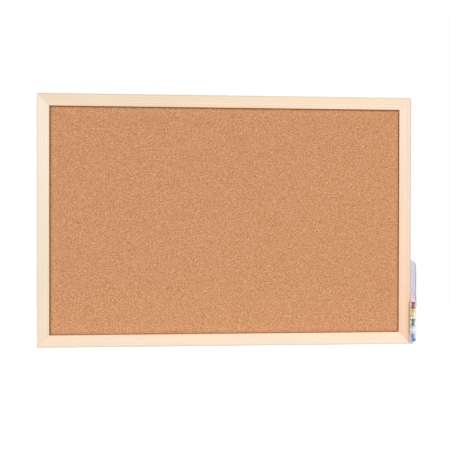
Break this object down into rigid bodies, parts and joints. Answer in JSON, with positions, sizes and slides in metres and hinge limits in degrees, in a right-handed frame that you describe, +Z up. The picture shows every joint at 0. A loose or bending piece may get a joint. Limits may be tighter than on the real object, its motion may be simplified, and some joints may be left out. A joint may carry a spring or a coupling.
{
  "type": "cork bulletin board",
  "caption": "Wall-hung cork notice board: cork-faced panel in a grooved, mitred pine frame, ring hangers on the back and a film sleeve of push pins beside the right edge.",
  "frame": {"origin": "middle of the top rail's back face, in the plane of the wall", "axes": "+X along the board to the right as seen from the front, +Y from the front to the wall, +Z up"},
  "size_m": [0.6147, 0.0218, 0.4],
  "materials": {
    "pine": "satin",
    "nail_steel": "satin",
    "cork": "matte",
    "fibreboard": "matte",
    "hardboard": "satin",
    "zinc_plate": "satin",
    "zinc_wire": "polished",
    "screw_steel": "satin",
    "film": "gloss",
    "red_plastic": "gloss",
    "yellow_plastic": "gloss",
    "green_plastic": "gloss",
    "white_plastic": "gloss",
    "blue_plastic": "gloss",
    "needle_steel": "polished"
  },
  "bodies": {
    "board": {"top_rail": "pine", "bottom_rail": "pine", "left_stile": "pine", "right_stile": "pine", "corner_v_nails": "nail_steel", "cork_sheet": "cork", "fibreboard_core": "fibreboard", "backing_board": "hardboard", "left_hanger_strap": "zinc_plate", "right_hanger_strap": "zinc_plate", "left_hanger_screw": "screw_steel", "right_hanger_screw": "screw_steel", "pin_bag": "film", "bag_staples": "nail_steel", "red_pin_head": "red_plastic", "yellow_pin_head": "yellow_plastic", "green_pin_head": "green_plastic", "white_pin_head": "white_plastic", "blue_pin_head": "blue_plastic", "red_pin_needle": "needle_steel", "yellow_pin_needle": "needle_steel", "green_pin_needle": "needle_steel", "white_pin_needle": "needle_steel", "blue_pin_needle": "needle_steel"},
    "left_ring": {"left_hanger_ring": "zinc_wire"},
    "right_ring": {"right_hanger_ring": "zinc_wire"}
  },
  "joints": [
    {"name": "left_ring_hinge", "type": "hinge", "parent": "board", "child": "left_ring", "pos_m": [-0.29, 0.0019, -0.07], "axis": [1, 0, 0], "range_deg": [0, 180]},
    {"name": "right_ring_hinge", "type": "hinge", "parent": "board", "child": "right_ring", "pos_m": [0.29, 0.0019, -0.07], "axis": [1, 0, 0], "range_deg": [0, 180]}
  ]
}
